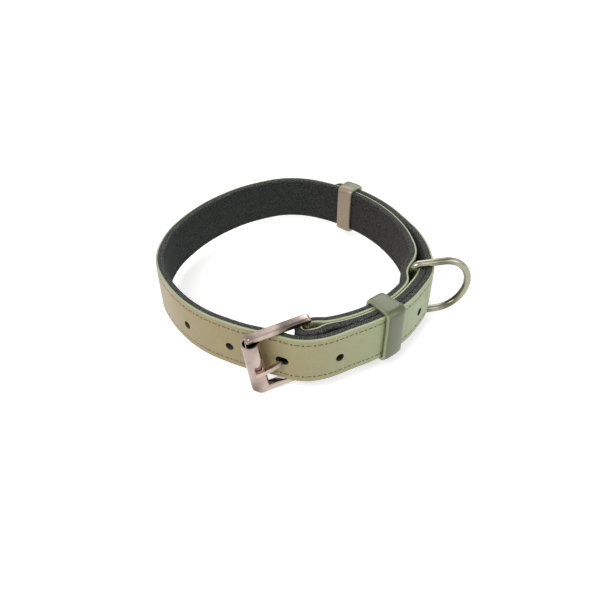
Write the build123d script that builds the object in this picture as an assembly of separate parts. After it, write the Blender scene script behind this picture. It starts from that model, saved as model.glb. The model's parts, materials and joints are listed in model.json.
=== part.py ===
from build123d import *
import math
import os

os.makedirs("parts", exist_ok=True)

# Driving dimensions, in millimetres and degrees.
# The strap stands on its lower edge around the Z axis, with the buckle at the front (-Y).
strap_width = 25.0
leather_thickness = 1.3
lining_thickness = 2.4
layer_gap = 0.35             # between two layers of the lapped strap
tip_flat = 1.0              # straight part between the tongue's two rounded corners

lap_radius = 72.8           # outer face of the tongue where three layers lie together
buckle_join_angle = -76.6   # where the folded end parts from the strap to go round the buckle bar
lap_end_angle = -33.0       # end of the round, three-layer lap that the front keeper slides on
dee_angle = -21.0
dee_bar_depth = 9.3         # the dee's straight bar lies this far inside the lap's outer face
fold_end_length = 8.5       # folded end past the dee's bar
rear_lap_angle = 27.0       # from here on the tongue lies close on the strap
tip_angle = 76.0

# The strap's outer face, where nothing else fixes it: the angle, and how much further it lies
# from the Z axis than the lap's outer face.
strap_knots = [(-8.0, -9.1), (9.0, -9.3), (rear_lap_angle, -8.9), (44.0, -7.0)]
rear_arc_end = (79.0, 0.6)
body_knots = [(93.0, 2.8), (112.0, 0.2), (132.0, -2.5), (152.0, -3.2), (172.0, -1.5),
              (190.0, -0.1), (212.0, -1.4), (232.0, -1.8), (247.0, -2.0)]
tongue_knots = [(-4.0, -1.8), (9.0, -3.5)]

fold_direction = 197.0      # heading of the fold loop, from the join towards the buckle
fold_loop_length = 12.0     # inside length of the loop round the bar
bar_radius = 1.5
bar_clearance = 0.3
fold_opening_length = 5.8   # from the join to where the loop is fully open
fold_slot_width = 4.6
fold_slot_overrun = 1.0      # the slot's cutter past the loop's round end
prong_eye_gap = 0.6
tongue_rise = 0.6           # clearance between the loop and the tongue that passes over it
wrap_radius = 22.0          # the tongue's bend over the loop
wrap_start_heading = -24.0
crest_heading = 0.0         # the tongue's heading where it is nearest the loop
wrap_end_heading = 12.0
tongue_lap_angle = -64.0

buckle_reach = 26.5         # buckle bar to roller axis
buckle_droop = 7.5          # the frame hangs down at its roller end
roller_depth = 6.65         # the roller's axis lies this far inside the bend over the loop
bar_lift = 1.1              # the middle of the bar is this far above the strap's middle
frame_slack = 3.4           # the frame's opening over the strap's width
arm_thickness = 3.4
arm_depth = 4.4
arm_end = 2.1               # arm past the bar's and the roller's axes
arm_outer_corner = 2.2      # the corners away from the strap
arm_inner_corner = 1.1
arm_edge_round = 1.0
axle_radius = 1.7
roller_radius = 4.2
roller_wall = 0.7
roller_end_gap = 0.3
roller_slit = 0.4
roller_slit_turn = 60.0     # the tube's seam, turned from the roller end towards the neck
axle_gap = 0.4              # the roller hangs on its axle with this much left between the two
prong_width = 2.2
prong_thickness = 1.7
prong_eye_wall = 1.3
prong_fit = 0.06            # radial running clearance of the prong's eye on the bar
prong_height = -1.2         # the eye's place on the bar, up from its middle
prong_rest_gap = 0.3
prong_overhang = 2.0
prong_start_slope = 4.0
prong_hole_slope = 38.0

hole_radius = 2.1
prong_hole_length = 6.4     # the hole in use is stretched along the strap
hole_pitch = 26.0
hole_row_drop = 1.4         # the holes sit this far below the strap's middle
prong_hole_station = 13.3   # from the buckle bar along the fold's direction
holes_before_prong = 2
holes_after_prong = 5
search_step = 0.02          # fineness of the search for the prong's hole

dee_wire = 3.8
dee_slack = 1.4             # the dee's opening over the strap's width
dee_reach = 31.0            # straight bar to the far side, wire centre to wire centre
dee_corner = 3.2
dee_swing = 33.0            # swung from straight out towards the back
pocket_clearance = 0.35

keeper_wall = 1.4
keeper_clearance = 0.5
keeper_corner = 1.6
front_keeper_angle = -51.0
front_keeper_width = 11.4
rear_keeper_angle = 61.0
rear_keeper_width = 10.4
staple_wire = 0.6
staple_length = 7.0
staple_proud = 0.5

thread_inset = 3.0          # rows of stitches from the strap's edges
thread_width = 0.7
thread_proud = 0.1
tip_thread_margin = 8.0     # the rows stop this far before the tongue's tip
cross_row_gap = 1.0         # between a row across and the two rows along the edges
cross_row_margin = 4.0      # degrees between a row across and the end of the lap

strap_thickness = leather_thickness + lining_thickness
layer_step = strap_thickness + layer_gap
dee_bar_radius = lap_radius - dee_bar_depth
frame_opening = strap_width + frame_slack
axle_offset = roller_radius - roller_wall - axle_radius - axle_gap
dee_opening = strap_width + dee_slack
hole_row_height = strap_width / 2 - hole_row_drop


# A path is a list of pieces (x, y, heading, length, curvature), headings in radians.
# The leather lies to the right of the path and the lining to its left.

def end_pose(piece):
    x, y, heading, length, curvature = piece
    turn = length * curvature
    if abs(turn) < 1e-9:
        return x + length * math.cos(heading), y + length * math.sin(heading), heading
    x += (math.sin(heading + turn) - math.sin(heading)) / curvature
    y -= (math.cos(heading + turn) - math.cos(heading)) / curvature
    return x, y, heading + turn


def arc_to(pose, target):
    """The arc that leaves a pose along its heading and ends at a point."""
    x, y, heading = pose
    dx, dy = target[0] - x, target[1] - y
    along = dx * math.cos(heading) + dy * math.sin(heading)
    across = dy * math.cos(heading) - dx * math.sin(heading)
    turn = 2 * math.atan2(across, along)
    chord = math.hypot(dx, dy)
    if abs(turn) < 1e-7:
        return x, y, heading, chord, 0.0
    curvature = 2 * math.sin(turn / 2) / chord
    return x, y, heading, turn / curvature, curvature


def biarc(start, end):
    """Two tangent arcs that join one pose to another."""
    dx, dy = end[0] - start[0], end[1] - start[1]
    c0, s0 = math.cos(start[2]), math.sin(start[2])
    c1, s1 = math.cos(end[2]), math.sin(end[2])
    spread = 2 * (1 - c0 * c1 - s0 * s1)
    along = dx * (c0 + c1) + dy * (s0 + s1)
    if spread < 1e-9:
        reach = (dx * dx + dy * dy) / (2 * along)
    else:
        reach = (math.sqrt(along ** 2 + spread * (dx * dx + dy * dy)) - along) / spread
    middle = ((start[0] + end[0] + reach * (c0 - c1)) / 2, (start[1] + end[1] + reach * (s0 - s1)) / 2)
    first = arc_to(start, middle)
    second = arc_to(end_pose(first), end[:2])
    return [first, second]


def point_at(path, distance):
    """The pose at a distance along a path."""
    for piece in path:
        if distance <= piece[3]:
            return end_pose((*piece[:3], distance, piece[4]))
        distance -= piece[3]
    return end_pose(path[-1])


def path_length(path):
    return sum(piece[3] for piece in path)


def cut_path(path, start, end):
    """The stretch of a path between two distances."""
    kept = []
    done = 0.0
    for piece in path:
        low, high = max(start - done, 0.0), min(end - done, piece[3])
        if high - low > 1e-6:
            kept.append((*end_pose((*piece[:3], low, piece[4])), high - low, piece[4]))
        done += piece[3]
    return kept


def offset_path(path, right):
    """The parallel path at a distance to the right."""
    moved = []
    for x, y, heading, length, curvature in path:
        scale = 1 + curvature * right
        moved.append((x + right * math.sin(heading), y - right * math.cos(heading), heading,
                      length * scale, curvature / scale))
    return moved


def reverse_path(path):
    turned = []
    for piece in reversed(path):
        x, y, heading = end_pose(piece)
        turned.append((x, y, heading + math.pi, piece[3], -piece[4]))
    return turned


def polar(angle, radius):
    return radius * math.cos(math.radians(angle)), radius * math.sin(math.radians(angle))


def ring_pose(angle, radius):
    """A pose on a circle round the Z axis, heading anticlockwise."""
    return (*polar(angle, radius), math.radians(angle + 90))


def heading_through(before, here, after):
    """The heading at the middle one of three points of a circle."""
    first = math.atan2(here[1] - before[1], here[0] - before[0])
    second = math.atan2(after[1] - here[1], after[0] - here[0])
    chord = math.atan2(after[1] - before[1], after[0] - before[0])
    turn = math.remainder(first + second - 2 * chord, 2 * math.pi)
    return chord + turn


def smooth_path(start, points, end):
    """Biarcs from one pose through points to another pose."""
    stops = [start[:2], *points, end[:2]]
    poses = [start]
    for before, here, after in zip(stops, stops[1:], stops[2:]):
        poses.append((*here, heading_through(before, here, after)))
    poses.append(end)
    path = []
    for first, second in zip(poses, poses[1:]):
        path += biarc(first, second)
    return path


def outline_edge(piece):
    x, y = piece[:2]
    ex, ey, _ = end_pose(piece)
    if abs(piece[3] * piece[4]) < 1e-6:
        return Edge.make_line((x, y), (ex, ey))
    mx, my, _ = end_pose((*piece[:3], piece[3] / 2, piece[4]))
    return Edge.make_three_point_arc((x, y), (mx, my), (ex, ey))


def ribbon_face(path, left, right):
    """The band between two offsets of a path, in the XY plane."""
    inner = offset_path(path, -left)
    outer = reverse_path(offset_path(path, right))
    edges = [outline_edge(piece) for piece in inner]
    edges.append(Edge.make_line(end_pose(inner[-1])[:2], outer[0][:2]))
    edges += [outline_edge(piece) for piece in outer]
    edges.append(Edge.make_line(end_pose(outer[-1])[:2], inner[0][:2]))
    return Face(Wire(edges))


def ribbon(path, left, right, low, high):
    return Pos(0, 0, low) * extrude(ribbon_face(path, left, right), high - low, dir=(0, 0, 1))


# The strap's course. Every path here is the glue line between leather and lining.

lap_base_radius = lap_radius - 2 * layer_step - leather_thickness
lap_fold_radius = lap_base_radius + 2 * leather_thickness + layer_gap
lap_tongue_radius = lap_radius - leather_thickness
lap_middle_radius = lap_base_radius + leather_thickness + layer_gap / 2
pocket_half = dee_wire / 2 + pocket_clearance
loop_half = bar_radius + bar_clearance
loop_run = fold_loop_length - loop_half         # join to the centre of the loop's round end
bar_lean = strap_width / 2 * math.tan(math.radians(buckle_droop))
bar_along = loop_run - bar_lean - bar_clearance
wrap_clear = loop_half + strap_thickness + tongue_rise + lining_thickness


def glue_point(angle, further):
    return polar(angle, lap_radius + further - leather_thickness)


def fold_pose(along, across, turn):
    """A pose from the buckle join: along the fold's direction, outwards, and turned from it."""
    x, y = polar(buckle_join_angle, lap_middle_radius)
    heading = math.radians(fold_direction)
    return (x + along * math.cos(heading) - across * math.sin(heading),
            y + along * math.sin(heading) + across * math.cos(heading), heading + math.radians(turn))


def turned_back(pose):
    return pose[0], pose[1], pose[2] + math.pi


def folded_end():
    """Clockwise from the cut end over the dee's bar and along the lap to the join."""
    pocket = ring_pose(dee_angle, dee_bar_radius + pocket_half + leather_thickness)
    lap_end = ring_pose(lap_end_angle, lap_fold_radius)
    past_angle, further = strap_knots[0]
    past = ring_pose(past_angle, lap_radius + further + layer_gap + leather_thickness)
    lap = [arc_to(ring_pose(buckle_join_angle, lap_fold_radius), lap_end[:2])]
    over_bar = biarc(lap_end, pocket)
    beyond = cut_path(biarc(pocket, past), 0.0, fold_end_length)
    return reverse_path(lap + over_bar + beyond)


def buckle_loop():
    """Round the buckle bar, from the folded end's join to the strap's."""
    half = loop_half + leather_thickness
    start = turned_back(ring_pose(buckle_join_angle, lap_fold_radius))
    opening = biarc(start, fold_pose(fold_opening_length, half, 0.0))
    straight_out = arc_to(end_pose(opening[-1]), fold_pose(loop_run, half, 0.0)[:2])
    round_end = (*end_pose(straight_out), math.pi * half, -1 / half)
    straight_in = (*end_pose(round_end), straight_out[3], 0.0)
    closing = biarc(end_pose(straight_in), ring_pose(buckle_join_angle, lap_base_radius))
    return opening + [straight_out, round_end, straight_in] + closing


def strap_start():
    """Anticlockwise from the join, under the dee's bar and up to the rear lap."""
    lap_end = ring_pose(lap_end_angle, lap_base_radius)
    lap = [arc_to(ring_pose(buckle_join_angle, lap_base_radius), lap_end[:2])]
    pocket = ring_pose(dee_angle, dee_bar_radius - pocket_half - leather_thickness)
    knots = [glue_point(*knot) for knot in strap_knots]
    rear_heading = heading_through(knots[-2], knots[-1], glue_point(*rear_arc_end))
    run_in = smooth_path(pocket, knots[:-1], (*knots[-1], rear_heading))
    return lap + biarc(lap_end, pocket) + run_in


def rear_arc():
    """The round stretch at the back right that the rear keeper slides on."""
    return arc_to(end_pose(strap_start()[-1]), glue_point(*rear_arc_end))


def wrap_pose(heading):
    """A pose of the tongue on its round bend over the loop's end."""
    x, y, _ = fold_pose(loop_run, 0.0, 0.0)
    crest = math.radians(crest_heading)
    x -= (wrap_radius - wrap_clear) * math.sin(crest)
    y += (wrap_radius - wrap_clear) * math.cos(crest)
    angle = math.radians(heading)
    return x + wrap_radius * math.sin(angle), y - wrap_radius * math.cos(angle), angle


def body_course():
    """From the rear arc round the back and the left to the bend over the buckle's loop."""
    return smooth_path(end_pose(rear_arc()), [glue_point(*knot) for knot in body_knots],
                       wrap_pose(wrap_start_heading))


def tongue_course():
    """From the loop's round end along the lap and over the dee's bar to the rear lap's tip."""
    wrap = arc_to(wrap_pose(wrap_start_heading), wrap_pose(wrap_end_heading)[:2])
    lap_start = ring_pose(tongue_lap_angle, lap_tongue_radius)
    lap_end = ring_pose(lap_end_angle, lap_tongue_radius)
    over_bar = dee_bar_radius + pocket_half + strap_thickness + layer_gap + lining_thickness
    rear = offset_path([rear_arc()], layer_step)
    rear_length = rear[0][3]
    tip_share = (tip_angle - strap_knots[-1][0]) / (rear_arc_end[0] - strap_knots[-1][0])
    start = strap_start()
    close = offset_path(start[-2:], layer_step)
    knots = [glue_point(*knot) for knot in tongue_knots]
    return ([wrap] + biarc(end_pose(wrap), lap_start) + [arc_to(lap_start, lap_end[:2])]
            + biarc(lap_end, ring_pose(dee_angle, over_bar))
            + smooth_path(ring_pose(dee_angle, over_bar), knots, close[0][:3])
            + close + cut_path(rear, 0.0, rear_length * tip_share))


before_body = folded_end() + buckle_loop() + strap_start() + [rear_arc()]
strap_path = before_body + body_course() + tongue_course()
strap_length = path_length(strap_path)


# The buckle's place: its plane has X towards the roller and Z outwards.

def unit(angle):
    return Vector(math.cos(math.radians(angle)), math.sin(math.radians(angle)), 0)


def buckle_plane():
    droop, swing = math.radians(buckle_droop), math.asin((wrap_clear - roller_depth) / buckle_reach)
    x, y, _ = fold_pose(bar_along, 0.0, 0.0)
    along, outward, up = unit(fold_direction), unit(fold_direction + 90), Vector(0, 0, 1)
    reach = along * math.cos(droop) - up * math.sin(droop)
    return Plane(origin=(x, y, strap_width / 2 + bar_lift),
                 x_dir=reach * math.cos(swing) + outward * math.sin(swing),
                 z_dir=outward * math.cos(swing) - reach * math.sin(swing))


buckle_place = buckle_plane()


def distance_to_station(path, station):
    """How far along a path it first stands level with a station on the fold's direction."""
    x, y, heading = fold_pose(bar_along + station, 0.0, 0.0)
    distance = 0.0
    while True:
        px, py, _ = point_at(path, distance)
        if (px - x) * math.cos(heading) + (py - y) * math.sin(heading) >= 0:
            return distance
        distance += search_step


wrap_distance = path_length(before_body + body_course())
prong_hole_distance = wrap_distance - distance_to_station(reverse_path(body_course()), prong_hole_station)


def free_hole_distances():
    numbers = [*range(-holes_before_prong, 0), *range(1, holes_after_prong + 1)]
    return [prong_hole_distance + hole_pitch * number for number in numbers]


# Cutters for the strap.

def hole_cutter(distance, outline):
    x, y, heading = point_at(strap_path, distance)
    plane = Plane(origin=(x, y, hole_row_height), x_dir=(math.cos(heading), math.sin(heading), 0),
                  z_dir=(math.sin(heading), -math.cos(heading), 0))
    depth = 2 * (strap_thickness + thread_proud)
    return extrude(plane * outline, depth / 2, both=True)


def fold_slot():
    """The slot in the fold that the prong swings in."""
    reach = loop_half + strap_thickness + tongue_rise / 2
    run = fold_loop_length + strap_thickness - bar_along + fold_slot_overrun
    back = prong_eye_radius() + prong_eye_gap
    box = Box(run + back, fold_slot_width, 2 * reach)
    x, y, heading = fold_pose(bar_along, 0.0, 0.0)
    level = Plane(origin=(x, y, strap_width / 2 + bar_lift + prong_height),
                  x_dir=(math.cos(heading), math.sin(heading), 0),
                  z_dir=(-math.sin(heading), math.cos(heading), 0))
    return level * (Pos((run - back) / 2, 0, 0) * box)


def tip_cutter():
    """What is taken off the tongue's end to round its two corners."""
    x, y, heading = end_pose(strap_path[-1])
    plane = Plane(origin=(x, y, strap_width / 2), x_dir=(math.cos(heading), math.sin(heading), 0),
                  z_dir=(math.sin(heading), -math.cos(heading), 0))
    tip_round = (strap_width - tip_flat) / 2
    kept = Pos(-2 * tip_round, 0) * RectangleRounded(4 * tip_round, strap_width, tip_round)
    waste = Rectangle(2 * tip_round, strap_width + tip_flat)
    shape = waste - kept
    inner = lining_thickness + layer_gap / 2
    return Location(plane.z_dir * -inner) * extrude(plane * shape, inner + strap_thickness)


def strap_cutters():
    cutters = [hole_cutter(distance, Circle(hole_radius)) for distance in free_hole_distances()]
    stretched = SlotOverall(prong_hole_length, 2 * hole_radius)
    return cutters + [hole_cutter(prong_hole_distance, stretched), fold_slot(), tip_cutter()]


def strap_leather():
    return ribbon(strap_path, 0.0, leather_thickness, 0.0, strap_width) - strap_cutters()


def strap_lining():
    return ribbon(strap_path, lining_thickness, 0.0, 0.0, strap_width) - strap_cutters()


def thread_row(height, face):
    """One edge row of stitches as a thin raised line on the leather or the lining."""
    path = cut_path(strap_path, thread_inset, strap_length - tip_thread_margin)
    left, right = (-leather_thickness, leather_thickness + thread_proud)
    if face == "lining":
        left, right = lining_thickness + thread_proud, -lining_thickness
    return ribbon(path, left, right, height - thread_width / 2, height + thread_width / 2)


def cross_row(angle):
    """A row of stitches across the lap, on the fold's outside and on the strap's inside."""
    low = thread_inset + cross_row_gap
    half = thread_width / 2 / lap_radius
    rows = []
    for radius in (lap_fold_radius + lining_thickness, lap_base_radius - lining_thickness - thread_proud):
        here = math.radians(angle) - half
        path = [(radius * math.cos(here), radius * math.sin(here), here + math.pi / 2,
                 2 * half * radius, 1 / radius)]
        rows.append(ribbon(path, 0.0, thread_proud, low, strap_width - low))
    return Compound(children=rows)


# The buckle, in its own plane.

def prong_eye_radius():
    return bar_radius + prong_fit + prong_eye_wall


def buckle_frame():
    half_opening = frame_opening / 2
    middle = half_opening + arm_thickness / 2
    arms = []
    for side in (1, -1):
        arm = Box(buckle_reach + 2 * arm_end, arm_thickness, arm_depth)
        # each corner stays rounder than the edges are, or the frame's mesh doesn't close
        outer_edges = arm.edges().filter_by(Axis.Z).sort_by(Axis.Y, reverse=side > 0)[:2]
        arm = fillet(outer_edges, min(arm_outer_corner, 0.64 * arm_thickness))
        inner_edges = arm.edges().filter_by(Axis.Z).sort_by(Axis.Y, reverse=side < 0)[:2]
        arm = fillet(inner_edges, min(arm_inner_corner, 0.32 * arm_thickness))
        arm = fillet(arm.edges().filter_by(Axis.X), min(arm_edge_round, 0.29 * arm_thickness))
        arms.append(Pos(buckle_reach / 2, side * middle, 0) * arm)
    bar = Rot(90, 0, 0) * Cylinder(bar_radius, frame_opening + arm_thickness)
    axle = Rot(90, 0, 0) * Cylinder(axle_radius, frame_opening + arm_thickness)
    axle = Pos(buckle_reach, 0, -axle_offset) * axle
    return buckle_place * (arms[0] + arms[1] + bar + axle)


def buckle_roller():
    length = frame_opening - 2 * roller_end_gap
    tube = Rot(90, 0, 0) * (Cylinder(roller_radius, length) - Cylinder(roller_radius - roller_wall, length))
    slit = Pos(roller_radius - roller_wall / 2, 0, 0) * Box(2 * roller_wall, length, roller_slit)
    return buckle_place * (Pos(buckle_reach, 0, 0) * (Rot(0, roller_slit_turn, 0) * (tube - slit)))


def prong_route():
    """The prong's centre line in the buckle's plane, as X towards the roller and Z outwards."""
    x, y, heading = point_at(strap_path, prong_hole_distance)
    middle = (lining_thickness - leather_thickness) / 2
    hole = Vector(x - middle * math.sin(heading), y + middle * math.cos(heading), hole_row_height)
    local = buckle_place.to_local_coords(hole)
    start = (prong_eye_radius() - prong_eye_wall / 2, 0.0, math.radians(prong_start_slope))
    through = (local.X, local.Z, math.radians(prong_hole_slope))
    top = roller_radius + prong_rest_gap + prong_thickness / 2
    over = (buckle_reach, top, 0.0)
    rest = (*over, prong_overhang, 0.0)
    return biarc(start, through) + biarc(through, over) + [rest]


def buckle_prong():
    flat = ribbon(prong_route(), prong_thickness / 2, prong_thickness / 2, 0.0, prong_width)
    shank = Rot(90, 0, 0) * flat
    shank = Pos(0, prong_width / 2, 0) * shank
    eye = Rot(90, 0, 0) * Cylinder(prong_eye_radius(), prong_width)
    hole = Rot(90, 0, 0) * Cylinder(bar_radius + prong_fit, 2 * prong_width)
    return buckle_place * (Pos(0, -prong_height, 0) * (shank + eye - hole))


# The dee ring and the keepers.

def dee_plane():
    x, y = polar(dee_angle, dee_bar_radius)
    direction = unit(dee_angle + dee_swing)
    return Plane(origin=(x, y, strap_width / 2), x_dir=direction, z_dir=direction.cross(Vector(0, 0, 1)))


def dee_ring():
    half = (dee_opening + dee_wire) / 2
    straight = dee_reach - half
    quarter = dee_corner * (1 - math.sin(math.radians(45)))
    bar = Edge.make_line((0, -half + dee_corner), (0, half - dee_corner))
    corner_top = Edge.make_three_point_arc(
        (0, half - dee_corner), (quarter, half - quarter), (dee_corner, half))
    arm_top = Edge.make_line((dee_corner, half), (straight, half))
    bow = Edge.make_three_point_arc((straight, half), (dee_reach, 0), (straight, -half))
    arm_low = Edge.make_line((straight, -half), (dee_corner, -half))
    corner_low = Edge.make_three_point_arc(
        (dee_corner, -half), (quarter, -half + quarter), (0, -half + dee_corner))
    route = Wire([bar, corner_top, arm_top, bow, arm_low, corner_low])
    section = Plane(origin=(0, 0, 0), z_dir=(0, 1, 0)) * Circle(dee_wire / 2)
    return dee_plane() * sweep(section, path=route)


def keeper_band(center, inner, outer, angle, width):
    """A closed band round the strap between two radii about a centre."""
    low, high = -keeper_clearance, strap_width + keeper_clearance
    inner, outer = inner - keeper_clearance, outer + keeper_clearance
    turn = math.degrees(width / outer)
    opening = Pos((inner + outer) / 2, (low + high) / 2) * Rectangle(outer - inner, high - low)
    rim = Pos((inner + outer) / 2, (low + high) / 2) * RectangleRounded(
        outer - inner + 2 * keeper_wall, high - low + 2 * keeper_wall, keeper_corner)
    profile = Plane.XZ * (rim - opening)
    band = revolve(profile, Axis.Z, turn)
    return Pos(center[0], center[1], 0) * (Rot(0, 0, angle - turn / 2) * band)


def keeper_staple(center, inner, angle):
    """A staple across the band's butted ends, on the side that faces the neck."""
    face = inner - keeper_clearance - keeper_wall
    middle = strap_width / 2
    crown = Pos(face - staple_proud / 2, 0, middle) * Box(staple_proud, staple_wire, staple_length)
    legs = [Pos(face + keeper_wall / 2, 0, middle + side * (staple_length - staple_wire) / 2)
            * Box(keeper_wall, staple_wire, staple_wire) for side in (1, -1)]
    return Pos(center[0], center[1], 0) * (Rot(0, 0, angle) * (crown + legs[0] + legs[1]))


def rear_center():
    """The centre of the rear arc, its inner face radius, and the rear keeper's angle about it."""
    x, y, heading, _, curvature = rear_arc()
    radius = 1 / curvature
    return (x - radius * math.sin(heading), y + radius * math.cos(heading)), radius


def rear_keeper_place():
    center, radius = rear_center()
    stop = polar(rear_keeper_angle, lap_radius)
    angle = math.degrees(math.atan2(stop[1] - center[1], stop[0] - center[0]))
    inner = radius - lining_thickness - thread_proud
    outer = radius + leather_thickness + layer_step + thread_proud
    return center, inner, outer, angle


def front_keeper_place():
    inner = lap_base_radius - lining_thickness - thread_proud
    return (0, 0), inner, lap_radius + thread_proud, front_keeper_angle


def keeper_and_staple(place, width):
    center, inner, outer, angle = place
    staple = keeper_staple(center, inner, angle)
    return keeper_band(center, inner, outer, angle, width) - staple, staple


front_keeper, front_staple = keeper_and_staple(front_keeper_place(), front_keeper_width)
rear_keeper, rear_staple = keeper_and_staple(rear_keeper_place(), rear_keeper_width)
upper_row, lower_row = strap_width - thread_inset, thread_inset

nodes = {
    "strap_leather": strap_leather(),
    "strap_lining": strap_lining(),
    "upper_needle_thread": thread_row(upper_row, "leather"),
    "lower_needle_thread": thread_row(lower_row, "leather"),
    "upper_bobbin_thread": thread_row(upper_row, "lining"),
    "lower_bobbin_thread": thread_row(lower_row, "lining"),
    "buckle_end_stitches": cross_row(buckle_join_angle + cross_row_margin),
    "dee_end_stitches": cross_row(lap_end_angle - cross_row_margin / 2),
    "buckle_frame": buckle_frame(),
    "buckle_roller": buckle_roller(),
    "buckle_prong": buckle_prong(),
    "dee_ring": dee_ring(),
    "front_keeper": front_keeper,
    "front_keeper_staple": front_staple,
    "rear_keeper": rear_keeper,
    "rear_keeper_staple": rear_staple,
}

# The collar stands on its lowest piece, so everything moves up until that touches Z = 0.
stand_height = -min(shape.bounding_box().min.Z for shape in nodes.values())
for name, shape in nodes.items():
    export_step(Pos(0, 0, stand_height) * shape, f"parts/{name}.step")

print("strap length", round(strap_length, 2), "stand height", round(stand_height, 4))
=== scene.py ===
import json
import math
import bmesh
import bpy
from mathutils import Matrix, Vector


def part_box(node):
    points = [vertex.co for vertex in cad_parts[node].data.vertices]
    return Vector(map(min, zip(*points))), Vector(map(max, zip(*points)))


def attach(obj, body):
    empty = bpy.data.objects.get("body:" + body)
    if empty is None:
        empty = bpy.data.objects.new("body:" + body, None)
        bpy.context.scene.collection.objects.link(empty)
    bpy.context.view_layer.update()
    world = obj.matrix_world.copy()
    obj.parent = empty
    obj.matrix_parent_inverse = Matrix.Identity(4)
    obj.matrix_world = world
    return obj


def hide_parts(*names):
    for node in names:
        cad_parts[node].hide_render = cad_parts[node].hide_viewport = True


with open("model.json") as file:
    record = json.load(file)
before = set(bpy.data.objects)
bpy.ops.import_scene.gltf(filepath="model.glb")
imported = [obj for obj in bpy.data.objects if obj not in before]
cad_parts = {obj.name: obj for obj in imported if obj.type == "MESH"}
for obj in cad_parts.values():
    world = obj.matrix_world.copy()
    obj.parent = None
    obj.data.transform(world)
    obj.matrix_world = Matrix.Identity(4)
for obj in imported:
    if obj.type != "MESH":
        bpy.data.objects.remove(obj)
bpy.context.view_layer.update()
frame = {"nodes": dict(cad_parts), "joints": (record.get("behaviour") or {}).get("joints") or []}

# The studio: a white sweep that keeps the collar's soft shadow, three large soft lamps and a
# camera that looks down on the buckle side of the standing ring.

view_elevation = math.radians(38.76)
view_distance = 0.300
view_target = Vector((0.0026, -0.0318, 0.01982))
lens_length = 35.91


def put(tree, kind, inputs=(), **settings):
    """A new node, with a value or a link for each of the sockets that are named or numbered."""
    made = tree.nodes.new(kind)
    for key, value in settings.items():
        setattr(made, key, value)
    for key, value in dict(inputs).items():
        if isinstance(value, bpy.types.NodeSocket):
            tree.links.new(value, made.inputs[key])
        else:
            made.inputs[key].default_value = value
    return made


def calc(tree, operation, *values):
    return put(tree, "ShaderNodeMath", enumerate(values), operation=operation).outputs[0]


def new_material(name):
    material = bpy.data.materials.new(name)
    material.use_nodes = True
    material.node_tree.nodes.clear()
    return material, material.node_tree


def surface(tree, shader):
    put(tree, "ShaderNodeOutputMaterial", {"Surface": shader.outputs[0]})


def new_object(name, data):
    made = bpy.data.objects.new(name, data)
    bpy.context.collection.objects.link(made)
    return made


def seen_or_reflected(tree):
    """1 for what the camera sees straight, in a mirror or through glass, and 0 for light."""
    path = put(tree, "ShaderNodeLightPath").outputs
    straight = calc(tree, "MAXIMUM", path["Is Camera Ray"], path["Is Glossy Ray"])
    return calc(tree, "MAXIMUM", straight, path["Is Transmission Ray"])


sweep_material, tree = new_material("studio_floor")
card = put(tree, "ShaderNodeBsdfDiffuse", {"Color": (0.90, 0.90, 0.89, 1)})
glow = put(tree, "ShaderNodeEmission", {"Color": (1, 1, 1, 1)})
tree.links.new(calc(tree, "MULTIPLY", seen_or_reflected(tree), 0.55), glow.inputs["Strength"])
surface(tree, put(tree, "ShaderNodeAddShader", {0: card.outputs[0], 1: glow.outputs[0]}))

floor_half = 3.0
floor_mesh = bpy.data.meshes.new("floor")
corners = [(-floor_half, -floor_half, 0), (floor_half, -floor_half, 0),
           (floor_half, floor_half, 0), (-floor_half, floor_half, 0)]
floor_mesh.from_pydata(corners, [], [(0, 1, 2, 3)])
floor_mesh.materials.append(sweep_material)
new_object("floor", floor_mesh)

world = bpy.data.worlds.new("studio")
bpy.context.scene.world = world
world.use_nodes = True
world.node_tree.nodes.clear()
tree = world.node_tree
sky_strength = calc(tree, "MULTIPLY_ADD", seen_or_reflected(tree), 0.65, 0.33)
sky = put(tree, "ShaderNodeBackground", {"Color": (1, 1, 1, 1), "Strength": sky_strength})
put(tree, "ShaderNodeOutputWorld", {"Surface": sky.outputs[0]})


def soft_lamp(name, place, power, size):
    data = bpy.data.lights.new(name, "AREA")
    data.energy, data.size = power, size
    lamp = new_object(name, data)
    lamp.location = place
    lamp.rotation_euler = (-Vector(place)).to_track_quat("-Z", "Y").to_euler()


soft_lamp("key_lamp", (-0.45, -0.55, 0.85), 5.6, 0.5)
soft_lamp("fill_lamp", (0.75, -0.45, 0.45), 2.4, 0.6)
soft_lamp("back_lamp", (0.1, 0.75, 0.7), 2.4, 0.6)

camera_data = bpy.data.cameras.new("camera")
camera_data.lens, camera_data.sensor_width = lens_length, 36.0
camera = new_object("camera", camera_data)
towards_camera = Vector((0, -math.cos(view_elevation), math.sin(view_elevation)))
camera.location = view_target + view_distance * towards_camera
camera.rotation_euler = (math.pi / 2 - view_elevation, 0, 0)
bpy.context.scene.camera = camera
bpy.context.scene.view_settings.view_transform = "Standard"

# The strap's outer leather: a sage green skin with a pearly finish, folded back round the buckle's
# bar at one end and punched with a row of holes. Two rows of lockstitch hold it to the felt, and
# its cut edges are paler than its face. Painted warm light turns the face tan towards the left,
# and painted shade darkens each needle hole and the walls of the punched holes.

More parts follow.
